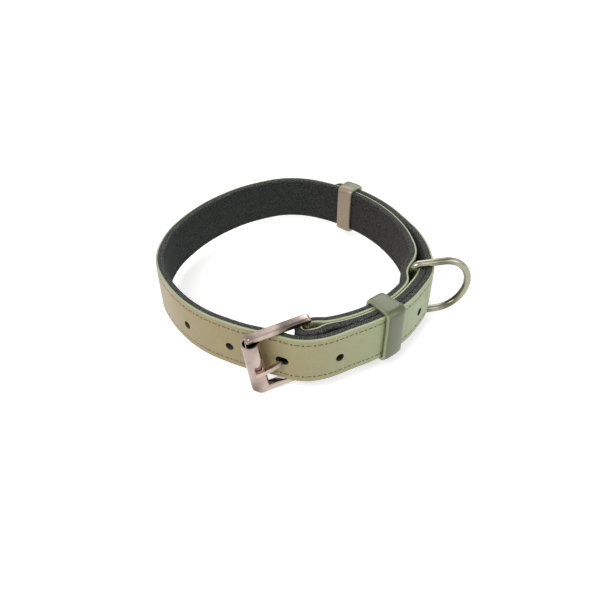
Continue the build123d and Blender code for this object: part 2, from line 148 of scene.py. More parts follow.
strap_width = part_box("strap_leather")[1][2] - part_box("strap_leather")[0][2]
strap_middle = (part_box("strap_leather")[1][2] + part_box("strap_leather")[0][2]) / 2
leather_thickness = 0.0013
felt_rise = 0.00035              # the seam lies this much further out than in the CAD
leather_edge_round = 0.00045
leather_crown = 0.00012          # the face swells this much between the two rows
leather_groove = 0.00014         # and the thread pulls it in along them
row_height = strap_width / 2 - 0.003
stitch_pitch = 0.005
strap_step = 0.0008
fine_step, coarse_step = 0.0003, 0.0012     # across the face, beside the stitches and elsewhere
strap_sway = 0.00008             # how far the hand-made strap wanders from true
hole_pitch = 0.026
hole_radius = 0.0021
used_hole_length = 0.0064
holes_before, holes_after = 2, 5
used_hole_from_tip = 0.2100
hole_row_drop = 0.0014
tip_flat = 0.001
slot_height, slot_length, slot_depth, slot_back = 0.0046, 0.0119, 0.0116, 0.0035
prong_drop = 0.0001              # the slot's middle, down from the strap's


def outline_of_top(node):
    """The loop of points round a CAD node's upper face."""
    mesh, top = frame["nodes"][node].data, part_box(node)[1][2]
    follows = set()
    for face in mesh.polygons:
        points = [mesh.vertices[i].co for i in face.vertices]
        if all(abs(point.z - top) < 1e-6 for point in points):
            loop = [(point.x, point.y) for point in points]
            for step in zip(loop, loop[1:] + loop[:1]):
                if step[::-1] in follows:
                    follows.remove(step[::-1])
                else:
                    follows.add(step)
    after = dict(follows)
    walk = [next(iter(sorted(after)))]
    while len(walk) < len(after):
        walk.append(after[walk[-1]])
    return [Vector(point) for point in walk]


def glue_line():
    """The line between leather and felt, from the folded end to the tongue's tip."""
    loop = outline_of_top("strap_leather")
    count = len(loop)
    square = [(loop[i] - loop[i - 1]).angle(loop[(i + 1) % count] - loop[i]) > math.radians(60)
              for i in range(count)]
    ends = [i for i in range(count) if square[i] and square[(i + 1) % count]]
    first, second = ends
    one = loop[first + 1:second + 1]
    other = loop[second + 1:] + loop[:first + 1]
    inner = max(one, other, key=lambda side: min(point.x for point in side))
    if inner[-1].y < inner[0].y:
        inner.reverse()
    return inner


strap_line = glue_line()
run_past = (strap_width - tip_flat) / 2
turn_out = (strap_line[-1] - strap_line[-2]).normalized()
turn = (strap_line[-1] - strap_line[-2]).angle_signed(strap_line[-2] - strap_line[-3])
turn /= (strap_line[-1] - strap_line[-2]).length
for share in range(1, 7):
    turn_out.rotate(Matrix.Rotation(turn * run_past / 6, 2))
    strap_line.append(strap_line[-1] + turn_out * run_past / 6)


def line_object(name, points, closed=False):
    data = bpy.data.curves.new(name, "CURVE")
    data.dimensions = "3D"
    spline = data.splines.new("POLY")
    spline.points.add(len(points) - 1)
    for place, point in zip(spline.points, points):
        place.co = (*point, 1)
    spline.use_cyclic_u = closed
    return new_object(name, data)


strap_route = line_object("strap_route", [(*point, strap_middle) for point in strap_line])


def side_profile(name, inner, outer, ripple):
    """A closed section through one layer: x is the distance out from the glue line, y the height."""
    half, round_ = strap_width / 2, leather_edge_round
    face = [half - round_]
    while face[-1] > -half + round_:
        near = abs(abs(face[-1]) - row_height) < coarse_step
        face.append(max(face[-1] - (fine_step if near else coarse_step), -half + round_))
    direction = 1 if outer > 0 else -1
    points = [(inner, y) for y in (-half, -half / 3, half / 3, half)]
    for turn_share in (0, 1, 2):
        angle = math.radians(30 * turn_share)
        across = outer - direction * round_ * (1 - math.sin(angle))
        points.append((across, half - round_ * (1 - math.cos(angle))))
    points += [(outer + direction * ripple(y), y) for y in face]
    for turn_share in (2, 1, 0):
        angle = math.radians(30 * turn_share)
        across = outer - direction * round_ * (1 - math.sin(angle))
        points.append((across, -half + round_ * (1 - math.cos(angle))))
    return line_object(name, [(x, y, 0) for x, y in points], closed=True)


def leather_ripple(y):
    beside = (abs(y) - row_height) / 0.0006
    swell = leather_crown * max(0.0, 1 - (y / row_height) ** 4)
    return swell - leather_groove * math.exp(-beside ** 2)


def new_tree(name, sockets):
    """An empty Geometry Nodes tree with its own named inputs, and where it starts and ends."""
    tree = bpy.data.node_groups.new(name, "GeometryNodeTree")
    face = tree.interface
    face.new_socket("Geometry", in_out="INPUT", socket_type="NodeSocketGeometry")
    for label, kind in sockets.items():
        face.new_socket(label, in_out="INPUT", socket_type="NodeSocket" + kind)
    face.new_socket("Geometry", in_out="OUTPUT", socket_type="NodeSocketGeometry")
    start, end = tree.nodes.new("NodeGroupInput"), tree.nodes.new("NodeGroupOutput")
    return tree, start.outputs, end.inputs[0]


def grow(name, source, tree, values):
    """The plain mesh that a tree makes from an object, as a piece of its own."""
    modifier = source.modifiers.new("grow", "NODES")
    modifier.node_group = tree
    for item in tree.interface.items_tree:
        if item.in_out == "INPUT" and item.name in values:
            modifier[item.identifier] = values[item.name]
    source.update_tag()
    graph = bpy.context.evaluated_depsgraph_get()
    mesh = bpy.data.meshes.new_from_object(source.evaluated_get(graph), depsgraph=graph)
    source.modifiers.remove(modifier)
    return new_object(name, mesh)


def vector_math(tree, operation, *values):
    made = put(tree, "ShaderNodeVectorMath", enumerate(values), operation=operation)
    return made.outputs[1 if operation in ("DOT_PRODUCT", "LENGTH") else 0]


def split(tree, vector):
    return put(tree, "ShaderNodeSeparateXYZ", {0: vector}).outputs


def join(tree, x, y, z):
    return put(tree, "ShaderNodeCombineXYZ", {0: x, 1: y, 2: z}).outputs[0]


def stored(tree, geometry, name, value, data_type="FLOAT", domain="POINT"):
    made = put(tree, "GeometryNodeStoreNamedAttribute", {"Geometry": geometry, "Name": name},
               data_type=data_type, domain=domain)
    tree.links.new(value, made.inputs["Value"])
    return made.outputs[0]


def read(tree, name):
    return put(tree, "GeometryNodeInputNamedAttribute", {"Name": name}, data_type="FLOAT").outputs[0]


def true_route(tree, curve, step, sway):
    """The route in even steps with its corners eased and a slight hand-made wander."""
    curve = put(tree, "GeometryNodeResampleCurve", {"Curve": curve, "Length": step}, mode="LENGTH").outputs[0]
    place = put(tree, "GeometryNodeInputPosition").outputs[0]
    eased = put(tree, "GeometryNodeBlurAttribute", {"Iterations": 3, "Weight": 1.0}, data_type="FLOAT_VECTOR")
    tree.links.new(place, next(s for s in eased.inputs if s.type == "VECTOR" and s.enabled))
    eased = next(s for s in eased.outputs if s.type == "VECTOR" and s.enabled)
    noise = put(tree, "ShaderNodeTexNoise", {"Vector": place, "Scale": 32.0, "Detail": 1.0}).outputs["Color"]
    wander = vector_math(tree, "MULTIPLY", vector_math(tree, "SUBTRACT", noise, (0.5, 0.5, 0.5)),
                         join(tree, sway, sway, calc(tree, "MULTIPLY", sway, 2.5)))
    moved = vector_math(tree, "ADD", eased, wander)
    curve = put(tree, "GeometryNodeSetPosition", {"Geometry": curve, "Position": moved}).outputs[0]
    return put(tree, "GeometryNodeSetCurveNormal", {"Curve": curve}, mode="Z_UP").outputs[0]


def along_curve(tree, curve, length):
    """Place and direction of the route at a distance along it."""
    made = put(tree, "GeometryNodeSampleCurve", {"Curves": curve, "Length": length}, mode="LENGTH")
    return made.outputs["Position"], made.outputs["Tangent"]


def square_to(tree, tangent):
    """Level and square to the route, out from the felt towards the leather."""
    return vector_math(tree, "CROSS_PRODUCT", tangent, (0, 0, 1))


def hole_cutters(tree, curve, total, material):
    """A rod for each hole of the row, drawn out along the strap to a slot for the hole in use."""
    count = holes_before + holes_after + 1
    number = calc(tree, "SUBTRACT", put(tree, "GeometryNodeInputIndex").outputs[0], holes_before)
    distance = calc(tree, "MULTIPLY_ADD", number, hole_pitch, total)
    distance = calc(tree, "SUBTRACT", distance, used_hole_from_tip)
    place, tangent = along_curve(tree, curve, distance)
    out = square_to(tree, tangent)
    lifted = vector_math(tree, "ADD", place, (0, 0, -hole_row_drop))
    lifted = vector_math(tree, "ADD", lifted, vector_math(tree, "MULTIPLY", out, (-0.0004,) * 3))
    points = put(tree, "GeometryNodePoints", {"Count": count, "Position": lifted}).outputs[0]
    used = put(tree, "ShaderNodeMath", {0: number, 1: 0.0, 2: 0.1}, operation="COMPARE").outputs[0]
    points = stored(tree, points, "draw", calc(tree, "MULTIPLY", used, used_hole_length / 2 - hole_radius))
    turned = put(tree, "FunctionNodeAxesToRotation", {0: out, 1: tangent},
                 primary_axis="Z", secondary_axis="X")
    rod = put(tree, "GeometryNodeMeshCylinder", {"Vertices": 40, "Radius": hole_radius, "Depth": 0.0060})
    rod = put(tree, "GeometryNodeSetMaterial", {"Geometry": rod.outputs[0], "Material": material}).outputs[0]
    fore = split(tree, put(tree, "GeometryNodeInputPosition").outputs[0])[0]
    fore = calc(tree, "MULTIPLY", fore, calc(tree, "GREATER_THAN", calc(tree, "ABSOLUTE", fore), 1e-6))
    drawn_rod = stored(tree, rod, "ahead", fore)
    points = stored(tree, points, "way", tangent, "FLOAT_VECTOR")
    rods = put(tree, "GeometryNodeInstanceOnPoints",
               {"Points": points, "Instance": drawn_rod, "Rotation": turned.outputs[0]}).outputs[0]
    rods = put(tree, "GeometryNodeRealizeInstances", {"Geometry": rods}).outputs[0]
    way = put(tree, "GeometryNodeInputNamedAttribute", {"Name": "way"}, data_type="FLOAT_VECTOR").outputs[0]
    pull = calc(tree, "MULTIPLY", calc(tree, "SIGN", read(tree, "ahead")), read(tree, "draw"))
    moved = vector_math(tree, "MULTIPLY", way, join(tree, pull, pull, pull))
    return put(tree, "GeometryNodeSetPosition", {"Geometry": rods, "Offset": moved}).outputs[0]


def joint(name):
    return next(entry for entry in frame["joints"] if entry["name"] == name)


bar_place = Vector(joint("buckle_hinge")["pos_m"])
roller_place = Vector(joint("roller_spin")["pos_m"])
bar_out = (roller_place - bar_place).xy.normalized()


def slot_cutter(tree, material):
    """The slot in the fold that the prong swings in."""
    centre = bar_place + Vector((*bar_out, 0)) * (slot_length / 2 - slot_back)
    centre.z = strap_middle - prong_drop
    box = put(tree, "GeometryNodeMeshCube", {"Size": (slot_length, slot_depth, slot_height)}).outputs[0]
    box = put(tree, "GeometryNodeSetMaterial", {"Geometry": box, "Material": material}).outputs[0]
    heading = (0, 0, math.atan2(bar_out.y, bar_out.x))
    placed = {"Geometry": box, "Translation": centre, "Rotation": heading}
    return put(tree, "GeometryNodeTransform", placed).outputs[0]


def layer_tree(name, material, cut_material):
    """A layer of the strap: its section swept along the route, its tip rounded and its holes cut."""
    tree, start, end = new_tree(name, {"Section": "Object", "Step": "Float", "Sway": "Float"})
    route = true_route(tree, start["Geometry"], start["Step"], start["Sway"])
    total = put(tree, "GeometryNodeCurveLength", {"Curve": route}).outputs[0]
    marked = stored(tree, route, "along", put(tree, "GeometryNodeSplineParameter").outputs["Length"])
    section = put(tree, "GeometryNodeObjectInfo", {"Object": start["Section"]}).outputs["Geometry"]
    height = split(tree, put(tree, "GeometryNodeInputPosition").outputs[0])[1]
    section = stored(tree, section, "height", height)
    body = put(tree, "GeometryNodeCurveToMesh",
               {"Curve": marked, "Profile Curve": section, "Fill Caps": True}).outputs[0]
    rounding = strap_width / 2 - tip_flat / 2
    left = calc(tree, "MINIMUM", calc(tree, "SUBTRACT", total, read(tree, "along")), rounding)
    short = calc(tree, "SUBTRACT", rounding, left)
    tall = calc(tree, "SQRT", calc(tree, "SUBTRACT", rounding ** 2, calc(tree, "MULTIPLY", short, short)))
    share = calc(tree, "DIVIDE", calc(tree, "ADD", tall, tip_flat / 2), strap_width / 2)
    x, y, z = split(tree, put(tree, "GeometryNodeInputPosition").outputs[0])
    squeezed = calc(tree, "MULTIPLY_ADD", calc(tree, "SUBTRACT", z, strap_middle), share, strap_middle)
    body = put(tree, "GeometryNodeSetPosition",
               {"Geometry": body, "Position": join(tree, x, y, squeezed)}).outputs[0]
    body = put(tree, "GeometryNodeSetMaterial", {"Geometry": body, "Material": material}).outputs[0]
    body = stored(tree, body, "UVMap", join(tree, read(tree, "along"), read(tree, "height"), 0.0),
                  "FLOAT2", "CORNER")
    cutters = put(tree, "GeometryNodeJoinGeometry")
    tree.links.new(hole_cutters(tree, route, total, cut_material), cutters.inputs[0])
    tree.links.new(slot_cutter(tree, cut_material), cutters.inputs[0])
    cut = put(tree, "GeometryNodeMeshBoolean", {"Mesh 1": body}, operation="DIFFERENCE", solver="EXACT")
    tree.links.new(cutters.outputs[0], cut.inputs["Mesh 2"])
    whole = put(tree, "GeometryNodeRealizeInstances", {"Geometry": cut.outputs[0]}).outputs[0]
    tree.links.new(whole, end)
    return tree


def smooth_by_angle(piece, degrees):
    """Soft shading with the edges sharper than an angle kept crisp."""
    bpy.context.view_layer.objects.active = piece
    for other in bpy.context.selected_objects:
        other.select_set(False)
    piece.select_set(True)
    bpy.ops.object.shade_smooth_by_angle(angle=math.radians(degrees))
    piece.select_set(False)


def ramp(tree, value, low, high, to_low=0.0, to_high=1.0):
    """Eases from one value to another as the input goes from low to high."""
    return put(tree, "ShaderNodeMapRange", {0: value, 1: low, 2: high, 3: to_low, 4: to_high},
               interpolation_type="SMOOTHSTEP").outputs[0]


def mix_colour(tree, share, one, other, blend="MIX"):
    return put(tree, "ShaderNodeMix", {0: share, 6: one, 7: other},
               data_type="RGBA", blend_type=blend).outputs[2]


def object_noise(tree, scale, detail=2.0, kind="ShaderNodeTexNoise"):
    place = put(tree, "ShaderNodeTexCoord").outputs["Object"]
    made = put(tree, kind, {"Vector": place, "Scale": scale})
    if kind == "ShaderNodeTexNoise":
        made.inputs["Detail"].default_value = detail
    return made.outputs[0]


def bump(tree, height, distance, strength=1.0):
    return put(tree, "ShaderNodeBump",
               {"Height": height, "Distance": distance, "Strength": strength}).outputs[0]


def near_needle_holes(tree):
    """How far a point of the strap's surface is from the nearest needle hole."""
    along, height, _ = split(tree, put(tree, "ShaderNodeUVMap", uv_map="UVMap").outputs[0])
    phase = calc(tree, "FRACT", calc(tree, "DIVIDE", along, stitch_pitch))
    du = calc(tree, "MULTIPLY", calc(tree, "SUBTRACT", phase, 0.5), stitch_pitch)
    dv = calc(tree, "SUBTRACT", calc(tree, "ABSOLUTE", height), row_height)
    return calc(tree, "SQRT", calc(tree, "MULTIPLY_ADD", du, du, calc(tree, "MULTIPLY", dv, dv))), height


leather, tree = new_material("sage_leather")
hole_distance, height = near_needle_holes(tree)
cloudy = object_noise(tree, 45.0, 3.0)
across = split(tree, put(tree, "ShaderNodeTexCoord").outputs["Object"])[0]
# Painted warm light: along x the face turns from pale sage on the right to warm tan on the left, standing in
# for warm light from the left and cooler light from the right; a fifth of the mix is random cloudy tone.
warm_light_and_cloudy_tone = ramp(tree, across, 0.075, -0.035)
warm_light_and_cloudy_tone = calc(tree, "ADD", calc(tree, "MULTIPLY", warm_light_and_cloudy_tone, 0.8), calc(tree, "MULTIPLY", cloudy, 0.2))
skin = mix_colour(tree, warm_light_and_cloudy_tone, (0.330, 0.420, 0.240, 1), (0.385, 0.285, 0.135, 1))
mottle = ramp(tree, object_noise(tree, 900.0), 0.35, 0.75, 0.0, 0.16)
skin = mix_colour(tree, mottle, skin, (0.20, 0.20, 0.11, 1))
edge = ramp(tree, calc(tree, "ABSOLUTE", height), strap_width / 2 - 0.0006, strap_width / 2 - 0.0001)
skin = mix_colour(tree, edge, skin, (0.40, 0.45, 0.27, 1))
# Painted shade: a near-black dot at each needle hole, where the mesh has only a dent, stands in for the shade
# inside the hole.
needle_hole_shade = ramp(tree, hole_distance, 0.00065, 0.00028)
skin = mix_colour(tree, needle_hole_shade, skin, (0.03, 0.022, 0.014, 1))
cells = object_noise(tree, 800.0, kind="ShaderNodeTexVoronoi")
grain = calc(tree, "ADD", object_noise(tree, 1500.0, 4.0), cells)
dimple = ramp(tree, hole_distance, 0.0001, 0.0014)
relief = calc(tree, "ADD", calc(tree, "MULTIPLY", grain, 0.12), dimple)
finish = put(tree, "ShaderNodeBsdfPrincipled",
             {"Base Color": skin, "Metallic": 0.12, "Normal": bump(tree, relief, 0.00022, 0.8),
              "Roughness": ramp(tree, cloudy, 0.2, 0.8, 0.40, 0.52),
              "Sheen Weight": 0.05, "Coat Weight": 0.12})
finish.inputs["Coat Roughness"].default_value = 0.3
surface(tree, finish)

punched, tree = new_material("punched_edge")
fuzz = object_noise(tree, 1400.0, 3.0)
# Painted shade: the walls of the punched holes and of the prong's slot are near-black brown, far darker than
# the strap's pale cut edges, standing in for the shade inside them.
raw_cut_and_shade = mix_colour(tree, fuzz, (0.035, 0.026, 0.018, 1), (0.10, 0.08, 0.055, 1))
surface(tree, put(tree, "ShaderNodeBsdfPrincipled",
                  {"Base Color": raw_cut_and_shade, "Roughness": 0.95, "Normal": bump(tree, fuzz, 0.0002)}))

skin_section = side_profile("skin_section", felt_rise, leather_thickness, leather_ripple)
outer = grow("strap_skin", strap_route, layer_tree("skin_layer", leather, punched),
             {"Section": skin_section, "Step": strap_step, "Sway": strap_sway})
bpy.data.objects.remove(skin_section)
smooth_by_angle(outer, 40)
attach(outer, "strap")
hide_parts("strap_leather")

# The strap's inner layer: charcoal melange felt, pressed from dark wool with pale fibres in it and
# glued and sewn to the leather. It isn't finished at its edges, so short fibres stand out of it.

felt_thickness = 0.0024


def felt_ripple(y):
    beside = (abs(y) - row_height) / 0.0009
    return -0.0003 * math.exp(-beside ** 2)


def melange(tree):
    """The felt's speckle: dark ground, mid-grey threads and a few pale ones, with painted light making the
    pale ones darker and greener on the left and lighter and browner on the right.
    """
    fine = object_noise(tree, 2600.0, 2.0)
    coarse = object_noise(tree, 900.0, 2.0)
    ground = mix_colour(tree, ramp(tree, coarse, 0.35, 0.65),
                        (0.010, 0.012, 0.011, 1), (0.026, 0.029, 0.026, 1))
    place = put(tree, "ShaderNodeTexCoord").outputs["Object"]
    across, _, up = split(tree, place)
    # Painted light: the pale threads go from darker green-grey on the left to lighter brown-grey on the
    # right, though the felt is one piece; near its cut edges they are paler still.
    pale_threads_and_light = mix_colour(tree, ramp(tree, across, -0.02, 0.05),
                      (0.060, 0.078, 0.068, 1), (0.115, 0.094, 0.084, 1))
    from_middle = calc(tree, "ABSOLUTE", calc(tree, "SUBTRACT", up, strap_middle))
    rim = ramp(tree, from_middle, strap_width / 2 - 0.0012, strap_width / 2 - 0.0002)
    pale_threads_and_light = mix_colour(tree, rim, pale_threads_and_light, (0.24, 0.235, 0.215, 1))
    return mix_colour(tree, ramp(tree, fine, 0.50, 0.66), ground, pale_threads_and_light), fine, coarse


felt, tree = new_material("charcoal_felt")
speckle, fine, coarse = melange(tree)
lint = calc(tree, "ADD", calc(tree, "MULTIPLY", fine, 0.5), coarse)
wool = put(tree, "ShaderNodeBsdfPrincipled",
           {"Base Color": speckle, "Roughness": 0.96,
            "Normal": bump(tree, lint, 0.0005, 0.9), "Sheen Weight": 0.06})
wool.inputs["Sheen Roughness"].default_value = 0.6
wool.inputs["Specular IOR Level"].default_value = 0.2
surface(tree, wool)

felt_section = side_profile("felt_section", felt_rise, -felt_thickness, felt_ripple)
inner = grow("strap_felt", strap_route, layer_tree("felt_layer", felt, felt),
             {"Section": felt_section, "Step": strap_step, "Sway": strap_sway})
bpy.data.objects.remove(felt_section)
smooth_by_angle(inner, 40)
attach(inner, "strap")
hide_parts("strap_lining")

# The fibres that stand out of the felt, the palest ones most of all along its cut edges.

fibre_length = 0.0011
fibre_radius = 0.000022
fibre_density = 620000.0


def fuzz_tree(material):
    tree, start, end = new_tree("fuzz", {"Length": "Float", "Radius": "Float",
                                         "Density": "Float", "Seed": "Int"})
    height = split(tree, put(tree, "GeometryNodeInputPosition").outputs[0])[2]
    from_middle = calc(tree, "ABSOLUTE", calc(tree, "SUBTRACT", height, strap_middle))
    near_edge = calc(tree, "GREATER_THAN", from_middle, strap_width / 2 - 0.0009)
    points = put(tree, "GeometryNodeDistributePointsOnFaces",
                 {"Mesh": start["Geometry"], "Selection": near_edge, "Density": start["Density"],
                  "Seed": start["Seed"]}, distribute_method="RANDOM")
    spine = put(tree, "GeometryNodeCurveQuadraticBezier",
                {"Resolution": 3, "Start": (0, 0, -0.00008),
                 "Middle": (0.0005, 0, 0.0004), "End": (0.001, 0.0003, 0.00022)})
    long_ = calc(tree, "DIVIDE", start["Length"], 0.001)
    spine = put(tree, "GeometryNodeTransform",
                {"Geometry": spine.outputs[0], "Scale": join(tree, long_, long_, long_)}).outputs[0]
    ring = put(tree, "GeometryNodeCurvePrimitiveCircle",
               {"Resolution": 3, "Radius": start["Radius"]}, mode="RADIUS")
    hair = put(tree, "GeometryNodeCurveToMesh", {"Curve": spine, "Profile Curve": ring.outputs[0]}).outputs[0]
    spin = put(tree, "FunctionNodeRandomValue", {"Seed": start["Seed"]}, data_type="FLOAT")
    for socket, value in zip([s for s in spin.inputs if s.type == "VALUE" and s.enabled], (0.0, 2 * math.pi)):
        socket.default_value = value
    angle = next(s for s in spin.outputs if s.enabled)
    turned = put(tree, "FunctionNodeRotateRotation",
                 {0: points.outputs["Rotation"], 1: put(tree, "FunctionNodeAxisAngleToRotation",
                                                        {"Axis": (0, 0, 1), "Angle": angle}).outputs[0]},
                 rotation_space="LOCAL")
    grown = put(tree, "GeometryNodeInstanceOnPoints",
                {"Points": points.outputs["Points"], "Instance": hair,
                 "Rotation": turned.outputs[0]}).outputs[0]
    grown = put(tree, "GeometryNodeRealizeInstances", {"Geometry": grown}).outputs[0]
    grown = put(tree, "GeometryNodeSetMaterial", {"Geometry": grown, "Material": material}).outputs[0]
    tree.links.new(grown, end)
    return tree


lint_material, tree = new_material("felt_fibres")
tone = ramp(tree, object_noise(tree, 700.0, 1.0), 0.40, 0.62)
wisp = mix_colour(tree, tone, (0.025, 0.026, 0.024, 1), (0.34, 0.33, 0.30, 1))
surface(tree, put(tree, "ShaderNodeBsdfPrincipled",
                  {"Base Color": wisp, "Roughness": 0.9, "Sheen Weight": 0.2}))

fuzz = grow("felt_fuzz", inner, fuzz_tree(lint_material),
            {"Length": fibre_length, "Radius": fibre_radius, "Density": fibre_density, "Seed": 7})
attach(fuzz, "strap")

# The sewing: lockstitch in dark waxed thread. Each stitch lies in the groove, dives into a needle
# hole at both ends and leans a little, with the needle thread on the leather and the bobbin thread
# on the felt. Two short rows across the lap hold the folded end.

thread_radius = 0.00019
stitch_lean = math.radians(5)
stitch_share = 0.78              # of the pitch, the rest being the gap between two stitches
stitch_dip, stitch_rise = 2.4, 2.6      # in thread radii, at a stitch's ends and its middle
needle_sink, bobbin_sink = 0.00012, 0.0002
row_start, row_end = 0.0035, 0.0085


def stitch_tree(material):
    """Stitches along a route: Out is how far from it they lie, Facing is added where it is upright."""
    tree, start, end = new_tree("lockstitch", {"Pitch": "Float", "Out": "Float",
                                               "Up": "Float", "Side": "Float",
                                               "Start": "Float", "End": "Float", "Facing": "Vector",
                                               "Thread Radius": "Float", "Step": "Float", "Sway": "Float"})
    route = true_route(tree, start["Geometry"], start["Step"], start["Sway"])
    total = put(tree, "GeometryNodeCurveLength", {"Curve": route}).outputs[0]
    first = calc(tree, "CEIL", calc(tree, "DIVIDE", start["Start"], start["Pitch"]))
    usable = calc(tree, "SUBTRACT", total, start["End"])
    last = calc(tree, "FLOOR", calc(tree, "DIVIDE", usable, start["Pitch"]))
    number = calc(tree, "ADD", put(tree, "GeometryNodeInputIndex").outputs[0], first)
    place, tangent = along_curve(tree, route, calc(tree, "MULTIPLY", number, start["Pitch"]))
    side = join(tree, start["Side"], start["Side"], start["Side"])
    out = vector_math(tree, "MULTIPLY", square_to(tree, tangent), side)
    out = vector_math(tree, "ADD", out, start["Facing"])
    off = join(tree, start["Out"], start["Out"], start["Out"])
    lifted = vector_math(tree, "ADD", place, vector_math(tree, "MULTIPLY", out, off))
    lifted = vector_math(tree, "ADD", lifted, join(tree, 0.0, 0.0, start["Up"]))
    points = put(tree, "GeometryNodePoints",
                 {"Count": calc(tree, "SUBTRACT", last, first), "Position": lifted})
    turned = put(tree, "FunctionNodeAxesToRotation", {0: out, 1: tangent},
                 primary_axis="Z", secondary_axis="X")
    lean = put(tree, "FunctionNodeAxisAngleToRotation", {"Axis": (0, 0, 1), "Angle": stitch_lean}).outputs[0]
    leaned = put(tree, "FunctionNodeRotateRotation", {0: turned.outputs[0], 1: lean}, rotation_space="LOCAL")
    reach = calc(tree, "MULTIPLY", start["Pitch"], 0.5)
    dip = calc(tree, "MULTIPLY", start["Thread Radius"], -stitch_dip)
    rise = calc(tree, "MULTIPLY", start["Thread Radius"], stitch_rise)
    back = calc(tree, "MULTIPLY", reach, -stitch_share)
    ahead = calc(tree, "MULTIPLY", reach, stitch_share)
    spine = put(tree, "GeometryNodeCurveQuadraticBezier",
                {"Resolution": 8, "Start": join(tree, back, 0.0, dip),
                 "Middle": join(tree, 0.0, 0.0, rise), "End": join(tree, ahead, 0.0, dip)})
    ring = put(tree, "GeometryNodeCurvePrimitiveCircle", {"Resolution": 7, "Radius": start["Thread Radius"]},
               mode="RADIUS")
    one = put(tree, "GeometryNodeCurveToMesh",
              {"Curve": spine.outputs[0], "Profile Curve": ring.outputs[0], "Fill Caps": True}).outputs[0]
    sewn = put(tree, "GeometryNodeInstanceOnPoints",
               {"Points": points.outputs[0], "Instance": one, "Rotation": leaned.outputs[0]}).outputs[0]
    sewn = put(tree, "GeometryNodeRealizeInstances", {"Geometry": sewn}).outputs[0]
    sewn = put(tree, "GeometryNodeSetMaterial", {"Geometry": sewn, "Material": material}).outputs[0]
    tree.links.new(sewn, end)
    return tree


def waxed_thread(name, dark, light):
    thread, tree = new_material(name)
    ply = put(tree, "ShaderNodeTexWave", {"Vector": put(tree, "ShaderNodeTexCoord").outputs["Object"],
                                          "Scale": 1100.0, "Distortion": 3.0}).outputs["Color"]
    twist = mix_colour(tree, ramp(tree, object_noise(tree, 500.0), 0.35, 0.7), dark, light)
    surface(tree, put(tree, "ShaderNodeBsdfPrincipled",
                      {"Base Color": twist, "Roughness": 0.62,
                       "Normal": bump(tree, ply, 0.00008), "Sheen Weight": 0.1}))
    return thread


sewing = stitch_tree(waxed_thread("needle_thread", (0.050, 0.036, 0.024, 1), (0.10, 0.076, 0.048, 1)))
bobbin_sewing = stitch_tree(waxed_thread("bobbin_thread", (0.012, 0.013, 0.012, 1), (0.030, 0.032, 0.029, 1)))
needle_out = leather_thickness - needle_sink
bobbin_out = felt_thickness - bobbin_sink
rows = {"upper_needle": (1, needle_out, row_height), "lower_needle": (1, needle_out, -row_height),
        "upper_bobbin": (-1, bobbin_out, row_height), "lower_bobbin": (-1, bobbin_out, -row_height)}
for name, (side, out, up) in rows.items():
    row = grow(name + "_stitches", strap_route, sewing if side > 0 else bobbin_sewing,
               {"Pitch": stitch_pitch, "Out": out, "Up": up, "Side": side, "Start": row_start, "End": row_end,
                "Facing": (0, 0, 0), "Thread Radius": thread_radius, "Step": strap_step, "Sway": strap_sway})
    smooth_by_angle(row, 60)
    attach(row, "strap")
    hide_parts(name + "_thread")
bpy.data.objects.remove(strap_route)

cross_pitch = 0.0034
for name in ("buckle_end_stitches", "dee_end_stitches"):
    low, high = (Vector(corner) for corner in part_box(name))
    middle = (low + high) / 2
    away = middle.xy.normalized()
    mesh = frame["nodes"][name].data
    radii = [vertex.co.xy.length for vertex in mesh.vertices]
    for part, radius, side in (("neck", min(radii), -1), ("fold", max(radii), 1)):
        foot = away * (radius - side * needle_sink)
        route = line_object("cross_route", [(*foot, low.z), (*foot, middle.z), (*foot, high.z)])
        row = grow(f"{name}_{part}", route, sewing,
                   {"Pitch": cross_pitch, "Out": 0.0, "Up": 0.0, "Side": 0.0, "Start": 0.0, "End": 0.0,
                    "Facing": (*(away * side), 0), "Thread Radius": thread_radius,
                    "Step": 0.001, "Sway": 0.0})
        bpy.data.objects.remove(route)
        smooth_by_angle(row, 60)
        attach(row, "strap")
        if side < 0:
            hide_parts(name)

# The two keepers: bands of the same leather in a glossier finish, bent round the layers of the
# strap with soft corners and pale cut edges, and stapled where their ends meet on the neck side.

keeper_thickness = 0.0014
keeper_swell = 0.0005
keeper_corner = 0.0028
keeper_cut_round = 0.0004

keeper_leather, tree = new_material("glazed_leather")
along, height, _ = split(tree, put(tree, "ShaderNodeUVMap", uv_map="UVMap").outputs[0])
cloudy = object_noise(tree, 120.0, 3.0)
hide = mix_colour(tree, cloudy, (0.070, 0.085, 0.030, 1), (0.120, 0.135, 0.055, 1))
mottle = ramp(tree, object_noise(tree, 1100.0), 0.4, 0.75, 0.0, 0.25)
hide = mix_colour(tree, mottle, hide, (0.09, 0.10, 0.05, 1))
# Painted warm light: at the back of the ring the neck side of the band turns tan.
warm_light_behind = ramp(tree, split(tree, put(tree, "ShaderNodeTexCoord").outputs["Object"])[1], 0.0, 0.03)
neck_side = calc(tree, "MULTIPLY", ramp(tree, along, 0.20, 0.30), ramp(tree, along, 0.66, 0.56))
hide = mix_colour(tree, calc(tree, "MULTIPLY", warm_light_behind, neck_side), hide, (0.36, 0.27, 0.19, 1))
rim = ramp(tree, calc(tree, "ABSOLUTE", height), 0.86, 0.99)
hide = mix_colour(tree, rim, hide, (0.34, 0.37, 0.22, 1))
pores = calc(tree, "ADD", object_noise(tree, 1500.0, 4.0), object_noise(tree, 260.0))
glaze = put(tree, "ShaderNodeBsdfPrincipled",
            {"Base Color": hide, "Metallic": 0.15, "Roughness": ramp(tree, cloudy, 0.2, 0.8, 0.26, 0.38),
             "Normal": bump(tree, pores, 0.00012, 0.6), "Coat Weight": 0.3})
glaze.inputs["Coat Roughness"].default_value = 0.15
surface(tree, glaze)


